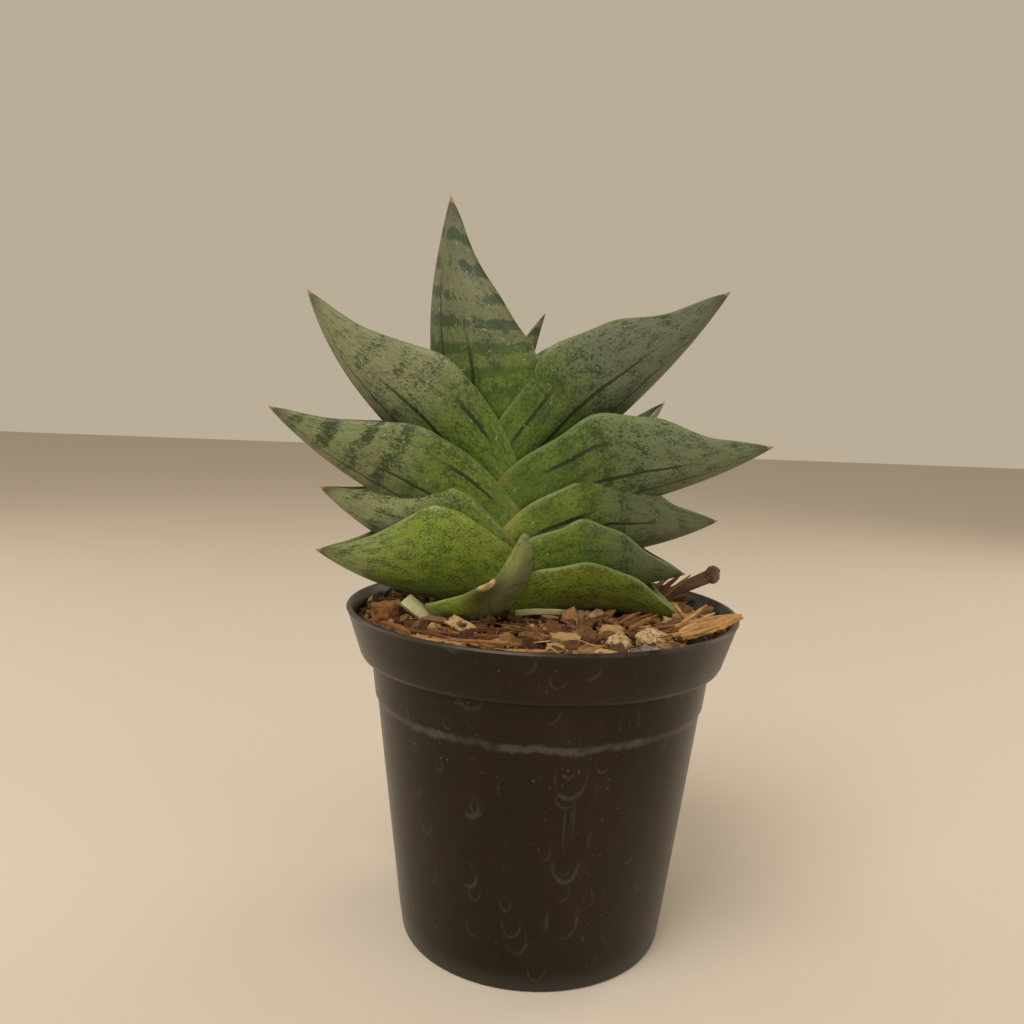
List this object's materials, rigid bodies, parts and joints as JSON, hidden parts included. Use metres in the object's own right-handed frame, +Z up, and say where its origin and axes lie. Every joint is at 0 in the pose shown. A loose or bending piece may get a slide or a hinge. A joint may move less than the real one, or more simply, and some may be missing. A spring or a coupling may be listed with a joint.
{
  "type": "potted snake plant",
  "caption": "Dwarf snake plant with boat-shaped banded leaves in two ranks on a short stem, growing in bark mix in a round black nursery pot.",
  "frame": {"origin": "centre of the pot's underside, on the surface it stands on", "axes": "+Z up, +X to the right with the leaf ranks spread along it, +Y away from the viewer"},
  "size_m": [0.1266, 0.1023, 0.1868],
  "materials": {
    "pot_plastic": "satin black-brown nursery plastic with dried water marks",
    "potting_mix": "damp composted bark and husk fibre",
    "root": "pale fibrous stem and roots",
    "leaf": "firm grey-green succulent leaf with dark cross bands and a pale margin",
    "dry_leaf": "dried pale papery leaf tissue",
    "cream_stone": "rough cream and ochre stone",
    "grey_stone": "rough grey stone",
    "twig_wood": "dry brown wood",
    "husk": "orange-brown coconut husk",
    "bark": "tan and brown bark chips"
  },
  "bodies": {
    "root": {"bark_block_centre": "bark", "bark_block_front": "bark", "bark_chip_01": "bark", "bark_chip_02": "bark", "bark_chip_03": "bark", "bark_chip_04": "bark", "bark_chip_05": "bark", "bark_chip_06": "bark", "bark_chip_07": "bark", "bark_chip_08": "bark", "bark_chip_09": "bark", "bark_chip_10": "bark", "bark_plate_front": "bark", "bark_plate_left": "bark", "bark_plate_right": "bark", "bark_round": "bark", "bark_sliver_1": "bark", "bark_sliver_2": "bark", "dry_sheath": "dry_leaf", "husk_chunk": "husk", "husk_flake": "husk", "leaf_back_left": "leaf", "leaf_back_right": "leaf", "leaf_crown": "leaf", "leaf_front": "leaf", "leaf_left_2": "leaf", "leaf_left_3": "leaf", "leaf_left_4": "leaf", "leaf_left_5": "leaf", "leaf_right_1": "leaf", "leaf_right_2": "leaf", "leaf_right_3": "leaf", "leaf_right_4": "leaf", "leaf_right_5": "leaf", "leaf_spear": "leaf", "leaf_stub": "dry_leaf", "pebble_cream_1": "cream_stone", "pebble_cream_2": "cream_stone", "pebble_grey_1": "grey_stone", "pebble_grey_2": "grey_stone", "pebble_grey_3": "grey_stone", "pot": "pot_plastic", "potting_mix": "potting_mix", "rootstock": "root", "twig": "twig_wood"}
  },
  "joints": []
}
